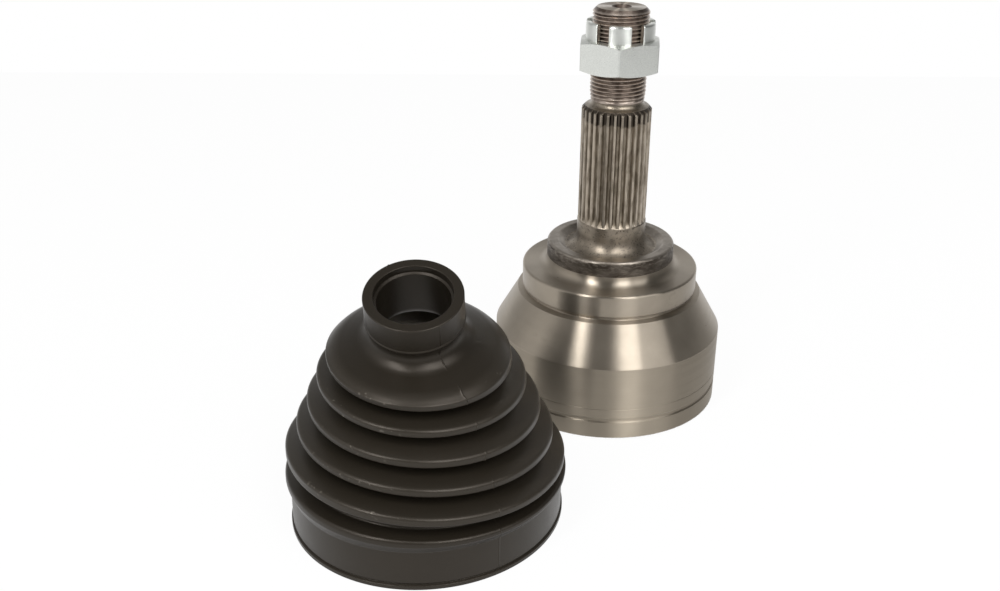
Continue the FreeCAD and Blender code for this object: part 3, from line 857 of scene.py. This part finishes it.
class CVJOINT_OT_housing(bpy.types.Operator):
    """Build the bell with its shoulders, splined stub and thread"""
    bl_idname = "cvjoint.housing"
    bl_label = "Housing"

    def execute(self, context):
        settings = context.scene.cv_joint
        bell, stub, finishes = settings.bell, settings.stub, settings.finishes
        materials = [
            ground_steel(finishes), turned_steel(finishes), scaled_steel(finishes),
            neck_steel(finishes), rolled_spline_steel(finishes, stub),
            rolled_thread_steel(finishes, stub), greased_steel(finishes),
        ]
        spline = "rolled_spline_steel"
        thread = "rolled_thread_steel"
        turned = "turned_carbon_steel"
        neck = "turned_neck_steel"
        skin = Skin()
        skin.lathe(bell_path(bell, stub), bearings(BELL_STEPS))
        skin.sheet(spline_rows(stub), spline)
        cut = stub.teeth_end - stub.spline_top + stub.spline_chamfer
        lead = stub.spline_top + stub.relief_height - THREAD_LEAD
        skin.lathe(rounded([
            (stub.tip_radius - cut, stub.teeth_end, 0, neck),
            (stub.relief_radius, stub.spline_top - 0.3 * MM, 1.6 * MM, neck),
            (stub.relief_radius, stub.spline_top + 1.0 * MM, 0, turned),
            (stub.thread_radius - THREAD_BLANK, lead, 0, thread),
        ]), bearings(STUB_STEPS))
        skin.sheet(thread_rows(stub), thread, climb=len(THREAD_SHAPE))
        end = stub.top - stub.end_chamfer
        skin.lathe(rounded([
            (stub.thread_radius, end, 0, thread),
            (stub.thread_radius - stub.end_chamfer, stub.top, 0.25 * MM, turned),
            (stub.hole_radius, stub.top, 0.15 * MM, thread),
            (stub.shank_radius, stub.top - 1.2 * MM, 0.1 * MM, spline),
            (stub.shank_radius, stub.top - stub.hole_depth, 0, spline),
            (0.05 * MM, stub.top - stub.hole_depth - 1.3 * MM, 0, spline),
        ]), bearings(STUB_STEPS))
        copy_socket(skin, bell)
        piece = skin.piece("bell_and_stub", materials, math.radians(35))
        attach(piece, "housing")
        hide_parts("housing")
        return {"FINISHED"}


# ------------------------------------------------------------------ bearing parts

class CVJOINT_OT_bearing(bpy.types.Operator):
    """Finish the inner race, its split ring, the cage and the balls"""
    bl_idname = "cvjoint.bearing"
    bl_label = "Bearing Parts"

    def execute(self, context):
        finishes = context.scene.cv_joint.finishes
        lapped = bearing_steel(finishes)
        wanted = {
            "inner_race": lapped, "cage": cage_steel(finishes), "race_ring": spring_steel(finishes),
        }
        wanted.update((name, lapped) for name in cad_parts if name.startswith("ball_"))
        for name, material in wanted.items():
            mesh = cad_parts[name].data
            mesh.materials.clear()
            mesh.materials.append(material)
        return {"FINISHED"}


# ------------------------------------------------------------------ castle nut

def hexagon_radius(nut, bearing):
    """Distance from the axis to the hexagon's side, with its corners slightly rubbed down."""
    half = nut.across_flats / 2
    aside = math.remainder(bearing - nut.corner_bearing, math.pi / 3)
    side = half / math.cos(math.pi / 6 - abs(aside))
    rubbed = 0.14 * MM
    return min(side, half / math.cos(math.pi / 6) - rubbed)


def hexagon_rows(nut, stub, bottom):
    """The hexagon from the bore round its lower face, up its flats and over its upper face."""
    steps = [0, 0.35, 0.8, 1.3, 3, 6, 10, 15, 20, 25, 30]
    steps += [60 - step for step in reversed(steps[1:-1])]
    turns = [
        nut.corner_bearing + math.radians(60 * side + step) for side in range(6) for step in steps
    ]
    face_radius = nut.across_flats / 2 - nut.face_inset
    corner_radius = nut.across_flats / 2 / math.cos(math.pi / 6)
    bore = stub.thread_radius + nut.bore_gap
    bore_chamfer = 0.9 * MM

    def chamfer(radius):
        return nut.corner_chamfer * (radius - face_radius) / (corner_radius - face_radius)

    columns = []
    for bearing in turns:
        wide = hexagon_radius(nut, bearing)
        rise = chamfer(wide)
        lower = [
            (bore, nut.hex_height * 0.5), (bore, bore_chamfer), (bore + bore_chamfer, 0),
            (face_radius - EDGE, 0), (face_radius, 0),
            (face_radius + EDGE, chamfer(face_radius + EDGE)),
            (wide - EDGE, chamfer(wide - EDGE)), (wide, rise), (wide, rise + EDGE),
        ]
        upper = [(radius, nut.hex_height - height) for radius, height in reversed(lower[3:])]
        upper.append((bore, nut.hex_height))
        columns.append([
            polar(radius, bearing, bottom + height) for radius, height in lower + upper
        ])
    return [list(row) for row in zip(*columns)]


def add_prongs(skin, nut, stub, bottom, finish):
    """The six prongs of the crown, each with flat sides where the slots were milled."""
    bore = stub.thread_radius + nut.bore_gap
    bore_chamfer, edge = 0.7 * MM, 0.1 * MM
    rubbed, rub_from = 0.28 * MM, 0.9
    top = bottom + nut.height
    outline = rounded([
        (nut.crown_radius, bottom + nut.hex_height, 0, finish),
        (nut.crown_radius, top, nut.crown_round, finish),
        (bore + bore_chamfer, top, edge, finish),
        (bore, top - bore_chamfer, edge, finish),
        (bore, bottom + nut.hex_height, 0, finish),
    ])
    shares = [-1, -0.985, -0.96, -0.9, -0.6, -0.3, 0, 0.3, 0.6, 0.9, 0.96, 0.985, 1]
    for side in range(6):
        middle = nut.corner_bearing + math.radians(60 * side)
        rows = []
        for radius, height, _ in outline:
            row = []
            for share in shares:
                kept = radius
                if radius > nut.crown_radius - 0.5 * MM:
                    kept -= rubbed * (max(abs(share) - rub_from, 0) / (1 - rub_from)) ** 3
                half = math.pi / 6 - math.asin(nut.slot_width / 2 / kept)
                row.append(polar(kept, middle + share * half, height))
            rows.append(row)
        skin.sheet(rows, finish, closed=False)
        skin.polygon([row[-1] for row in rows], finish)
        skin.polygon([row[0] for row in reversed(rows)], finish)


class CVJOINT_OT_castle_nut(bpy.types.Operator):
    """Build the castle nut on the stub's thread"""
    bl_idname = "cvjoint.castle_nut"
    bl_label = "Castle Nut"

    def execute(self, context):
        settings = context.scene.cv_joint
        nut, stub = settings.nut, settings.stub
        zinc = zinc_plating(settings.finishes)
        crown = crown_plating(settings.finishes)
        bottom = stub.top - nut.setback - nut.height
        skin = Skin()
        skin.sheet(hexagon_rows(nut, stub, bottom), zinc.name)
        add_prongs(skin, nut, stub, bottom, crown.name)
        piece = skin.piece("castle_nut_body", [zinc, crown], math.radians(32))
        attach(piece, "castle_nut")
        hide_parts("castle_nut")
        return {"FINISHED"}


# ------------------------------------------------------------------ boot

def fold_corners(boot, inset):
    """Corners of the valleys and crests, from the bottom up, moved inward by the inset."""
    corners = []
    for number in range(boot.folds):
        middle = boot.first_fold + number * boot.fold_pitch
        if number + 1 == boot.high_fold:
            middle += boot.high_fold_rise
        crest = boot.fold_radius - number * boot.fold_taper
        valley = crest + boot.fold_taper / 2 - boot.fold_depth
        below = middle - boot.fold_pitch / 2
        crest_half = boot.crest_land / 2 - inset * 0.35
        valley_half = boot.valley_land / 2 + inset * 0.35
        tight = 0.5 if inset else 1.0
        corners += [
            (valley - inset, below - valley_half, boot.valley_round),
            (valley - inset, below + valley_half, boot.valley_round),
            (crest - inset, middle - crest_half, boot.crest_edge * tight),
            (crest - inset, middle + crest_half, boot.crest_round * tight),
        ]
    return corners


def boot_path(boot):
    """The closed line round the boot's wall, up the outside and down the inside."""
    half_bead = boot.bead_land / 2
    outside = [
        (boot.lip_radius - 0.3 * MM, 0, 0),
        (boot.lip_radius, 0.3 * MM, 0.2 * MM),
        (boot.lip_radius, boot.lip_height, 0.3 * MM),
        (boot.cuff_radius - 0.5 * MM, boot.lip_height + boot.step_slope, 0.15 * MM),
        (boot.cuff_radius, boot.lip_height + 2.5 * boot.step_slope, 0.2 * MM),
        (boot.cuff_radius, boot.cuff_height, 1.5 * MM),
        (boot.bead_radius, boot.bead_height - half_bead, 1.2 * MM),
        (boot.bead_radius, boot.bead_height + half_bead, 1.2 * MM),
    ]
    outside += fold_corners(boot, 0)
    foot = boot.neck_bottom - boot.neck_foot_height
    ring = boot.ring_radius + 0.25 * MM
    mouth = boot.tall - boot.mouth_depth
    outside += [
        (boot.dome_radius, boot.dome_height, 10.0 * MM),
        (boot.neck_radius + boot.neck_foot_step, foot, 3.0 * MM),
        (boot.neck_radius, boot.neck_bottom, boot.neck_foot_round),
        (boot.neck_radius, boot.ring_bottom, 0.2 * MM),
        (ring, boot.ring_bottom + boot.step_slope, 0.25 * MM),
        (ring, boot.ring_bottom + 2.5 * boot.step_slope, 0.2 * MM),
        (boot.ring_radius, boot.ring_bottom + 3.5 * boot.step_slope, 0.2 * MM),
        (boot.ring_radius, boot.tall, 0.45 * MM),
        (boot.mouth_radius, boot.tall, 0.3 * MM),
        (boot.mouth_radius, mouth, 0.2 * MM),
        (boot.bore_radius, mouth - boot.step_slope, 0.2 * MM),
    ]
    inside = [
        (boot.cuff_radius - boot.cuff_wall, 0, 0),
        (boot.cuff_radius - boot.cuff_wall, boot.cuff_height, 1.0 * MM),
        (boot.bead_radius - boot.wall, boot.bead_height, 1.0 * MM),
    ]
    inside += fold_corners(boot, boot.wall)
    inside += [
        (boot.neck_radius + 4.0 * MM, boot.neck_bottom - 2 * boot.wall, 1.5 * MM),
        (boot.bore_radius, boot.neck_bottom - boot.wall / 2, 2.4 * MM),
    ]
    corners = [(*corner, "") for corner in outside + inside[::-1]]
    return rounded(corners, steps=8, near=0.2 * MM)


def between(value, stops):
    """The (x, y) pair at a value, from a list of (value, pair) stops."""
    if value <= stops[0][0]:
        return Vector(stops[0][1])
    for (low, before), (high, after) in zip(stops, stops[1:]):
        if value <= high:
            return Vector(before).lerp(Vector(after), (value - low) / (high - low))
    return Vector(stops[-1][1])


def boot_frames(boot, distances):
    """Middle of the boot at each distance along it, and two directions in the fold's plane."""
    last_fold = boot.first_fold + (boot.folds - 1) * boot.fold_pitch
    path = [(boot.bend_from, (0, 0)), (last_fold, boot.slant), (boot.ring_bottom, boot.neck_tilt)]
    tips = [(boot.cuff_height, (0, 0)), (boot.first_fold, boot.first_tilt)]
    tips += [(last_fold, boot.last_tilt), (boot.ring_bottom, boot.neck_tilt)]
    frames = {}
    middle = Vector((boot.place_x, boot.place_y, 0))
    reached = 0
    step = 0.1 * MM
    for distance in sorted(set(distances)):
        while reached < distance:
            stride = min(step, distance - reached)
            lean = between(reached + stride / 2, path)
            middle = middle + Vector((lean.x, lean.y, 1)).normalized() * stride
            reached += stride
        tip = between(distance, tips)
        upright = Vector((tip.x, tip.y, 1)).normalized()
        across = Vector((1, 0, -upright.x / upright.z)).normalized()
        frames[distance] = (middle, across, upright.cross(across))
    return frames


def seam_ridge(boot, seam, turn, radius, along):
    """Height of the mould's parting ridge, which wanders a little and is torn off in places."""
    width, wander = 0.2 * MM, math.radians(1.3)
    stray = wander * noise.noise(Vector((seam, 3, along / (3.5 * MM))))
    off = abs(math.remainder(turn - seam - stray, 2 * math.pi)) * radius
    torn = max(0.45 + 1.2 * noise.noise(Vector((seam, along / (2.5 * MM), 0))), 0)
    return boot.parting_height * torn * math.exp(-(off / width) ** 2)


class CVJOINT_OT_boot(bpy.types.Operator):
    """Build the moulded bellows boot"""
    bl_idname = "cvjoint.boot"
    bl_label = "Boot"

    def execute(self, context):
        settings = context.scene.cv_joint
        boot = settings.boot
        rubber = moulded_rubber(settings.finishes)
        path = boot_path(boot)
        seams = [boot.parting_bearing, boot.parting_bearing + math.pi]
        # columns of points stand closer together at each seam, to carry its ridge
        turns = set(bearings(BOOT_STEPS))
        spacing, columns = 0.13, 10
        for seam in seams:
            turns.update(
                (seam + math.radians(step * spacing)) % (2 * math.pi)
                for step in range(-columns, columns + 1)
            )
        turns = sorted(turns)
        frames = boot_frames(boot, [along for _, along, _ in path])
        rows = []
        worn_and_painted_light = []
        top = boot.tall - 1e-7
        outer_end = max(index for index, point in enumerate(path) if point[1] > top)
        for index, (radius, along, _) in enumerate(path):
            middle, across, aside = frames[along]
            outer = index <= outer_end
            pull = boot.squash * max(1 - along / (0.75 * boot.tall), 0) * radius / boot.cuff_radius
            slot = (along - boot.first_fold) / boot.fold_pitch
            crest = boot.fold_radius - slot * boot.fold_taper
            inner = min(max((crest - radius) / (0.35 * boot.fold_depth), 0), 1)
            deep = along < boot.neck_bottom - boot.wall
            row = []
            for turn in turns:
                way = across * math.cos(turn) + aside * math.sin(turn)
                ridge = 0
                if outer and along > boot.lip_height:
                    ridge = sum(seam_ridge(boot, seam, turn, radius, along) for seam in seams)
                swell = radius + ridge + pull * math.sin(2 * turn)
                # the folds are a little uneven, in waves of a few centimetres
                if along > boot.cuff_height:
                    swell += noise.noise((middle + way * radius) / (26 * MM)) * 0.22 * MM
                row.append(middle + way * swell)
                # from 1 on the crests to 0 in the valleys, and below 0 inside; the crests get a
                # painted highlight from it, and the inside of the folds painted fill light
                worn_and_painted_light.append(1 - inner if outer else -2 if deep else -1)
            rows.append(row)
        skin = Skin()
        skin.sheet(rows, rubber.name, looped=True)
        piece = skin.piece("moulded_boot", [rubber], math.radians(60))
        shade = piece.data.attributes.new("worn_and_painted_light", "FLOAT", "POINT")
        for place, value in zip(shade.data, worn_and_painted_light):
            place.value = value
        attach(piece, "boot")
        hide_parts("boot")
        return {"FINISHED"}


# ------------------------------------------------------------------ stage

def pale_floor(finishes):
    """Matt white studio floor, which keeps a soft shadow of the part.

    It is clear from underneath, so that the inside of the bell can be seen from there.
    """
    made, add = empty_material("matt_white_floor")
    rays = add("LightPath", out=None).outputs
    seen = add("Math", rays["Is Camera Ray"], rays["Is Glossy Ray"], operation="MAXIMUM")
    seen = add("Math", seen, rays["Is Transmission Ray"], operation="MAXIMUM")
    matt = add("BsdfPrincipled", {
        "Base Color": shade(finishes.floor), "Roughness": 0.9, "Specular IOR Level": 0.0,
    })
    glow = add("Emission", {"Color": WHITE, "Strength": 1.0})
    mixed = add("MixShader", add("Math", seen, 0.95, **TIMES), matt, glow)
    under = add("NewGeometry", out="Backfacing")
    add("OutputMaterial", add("MixShader", under, mixed, add("BsdfTransparent")))
    return made


def studio_world():
    """White backdrop behind the part, and round it the studio that its metal mirrors.

    A pale panel stands on the left, the space between the softboxes is dim, a black drape hangs
    on the right, and the backdrop fades above the height that the lamps reach.
    """
    world = bpy.data.worlds.new("studio")
    world.use_nodes = True
    world.node_tree.nodes.clear()
    add = functools.partial(node, world.node_tree)
    way = add("SeparateXYZ", add("TexCoord", out="Generated"), out=None).outputs
    south = add("Math", way["Y"], -1.0, **TIMES)
    bearing = add("Math", way["X"], south, operation="ARCTAN2")
    around = add("ValToRGB", add("MapRange", bearing, -math.pi, math.pi), out=None)
    stops = [
        (-180, 0.62), (-140, 0.5), (-120, 0.45), (-98, 0.8), (-58, 1.0), (-49, 0.45),
        (-26, 0.24), (62, 0.2), (100, 0.14), (120, 0.22), (145, 0.5), (180, 0.62),
    ]
    elements = around.color_ramp.elements
    while len(elements) < len(stops):
        elements.new(0.5)
    for element, (degrees, brightness) in zip(elements, stops):
        element.position = (degrees + 180) / 360
        element.color = (brightness, brightness, brightness, 1)
    behind = add("MapRange", way["Y"], 0.65, 0.9)
    low = add("Math", behind, add("MapRange", way["Z"], 0.4, 0.2), **TIMES)
    high = add("MapRange", way["Z"], 0.6, 0.85, 0.0, 0.6)
    studio = add("Mix", {0: low, 6: around.outputs[0], 7: WHITE}, **COLOURS)
    studio = add("Mix", {0: high, 6: studio, 7: BLACK}, **COLOURS)
    seen = add("LightPath", out="Is Camera Ray")
    tone = add("Mix", {0: seen, 6: studio, 7: WHITE}, **COLOURS)
    add("OutputWorld", add("Background", {"Color": tone, "Strength": 1.0}))
    return world


# bearing and elevation in degrees, width and height in metres, and brightness
SOFTBOXES = {
    "softbox_left": (-39, 42, 0.22, 1.0, 12.0),
    "softbox_front": (22, 42, 0.44, 1.0, 5.6),
    "softbox_right": (50, 40, 0.76, 1.0, 2.1),
    "softbox_top": (0, 86, 0.6, 0.6, 0.3),
}


def softbox(name, bearing, elevation, width, height, brightness, distance=1.3):
    """A rectangular studio light that faces the middle of the part.

    A brightness of one looks as bright as the white backdrop.
    """
    lamp = bpy.data.lights.new(name, "AREA")
    lamp.shape = "RECTANGLE"
    lamp.size = width
    lamp.size_y = height
    lamp.energy = brightness * math.pi * width * height
    thing = bpy.data.objects.new(name, lamp)
    bearing, elevation = math.radians(bearing), math.radians(elevation)
    flat = math.cos(elevation)
    way = Vector((math.sin(bearing) * flat, -math.cos(bearing) * flat, math.sin(elevation)))
    aim = Vector((0, 0, 50 * MM))
    thing.location = aim + way * distance
    thing.rotation_euler = way.to_track_quat("Z", "Y").to_euler()
    bpy.context.scene.collection.objects.link(thing)


class CVJOINT_OT_stage(bpy.types.Operator):
    """Set up the floor, the studio lights and the camera"""
    bl_idname = "cvjoint.stage"
    bl_label = "Stage"

    def execute(self, context):
        settings = context.scene.cv_joint
        stage = settings.stage
        side, front, back = stage.floor_side, -stage.floor_front, stage.floor_back
        skin = Skin()
        material = pale_floor(settings.finishes)
        corners = ((-side, front), (side, front), (side, back), (-side, back))
        skin.polygon([Vector((x, y, 0)) for x, y in corners], material.name)
        floor = skin.piece("studio_floor", [material], math.radians(30))
        context.scene.world = studio_world()
        for name, values in SOFTBOXES.items():
            softbox(name, *values)
        camera = bpy.data.cameras.new("camera")
        camera.lens = stage.lens
        camera.sensor_width = 36
        camera.clip_start = 0.01
        thing = bpy.data.objects.new("camera", camera)
        tilt = Matrix.Rotation(math.pi / 2 - stage.camera_tilt, 4, "X")
        place = Matrix.Translation((stage.camera_x, stage.camera_y, stage.camera_z))
        thing.matrix_world = place @ tilt @ Matrix.Rotation(stage.camera_roll, 4, "Z")
        context.scene.collection.objects.link(thing)
        context.scene.camera = thing
        context.scene.view_settings.view_transform = "Standard"
        return {"FINISHED"}


# ------------------------------------------------------------------ add-on

class CVJOINT_PT_parts(bpy.types.Panel):
    """Lists the operators that make the part"""
    bl_idname = "CVJOINT_PT_parts"
    bl_label = "CV Joint"
    bl_space_type = "VIEW_3D"
    bl_region_type = "UI"
    bl_category = "CV Joint"

    def draw(self, context):
        for operator in OPERATORS:
            self.layout.operator(operator.bl_idname)


OPERATORS = (
    CVJOINT_OT_stage, CVJOINT_OT_housing, CVJOINT_OT_bearing, CVJOINT_OT_castle_nut,
    CVJOINT_OT_boot,
)
CLASSES = (
    BellSizes, StubSizes, NutSizes, BootSizes, Finishes, StageSettings, JointSettings,
    *OPERATORS, CVJOINT_PT_parts,
)


def register():
    for kind in CLASSES:
        bpy.utils.register_class(kind)
    bpy.types.Scene.cv_joint = bpy.props.PointerProperty(type=JointSettings)


def unregister():
    del bpy.types.Scene.cv_joint
    for kind in reversed(CLASSES):
        bpy.utils.unregister_class(kind)


def main():
    register()
    bpy.ops.cvjoint.stage()
    bpy.ops.cvjoint.housing()
    bpy.ops.cvjoint.bearing()
    bpy.ops.cvjoint.castle_nut()
    bpy.ops.cvjoint.boot()


if __name__ == "__main__":
    main()
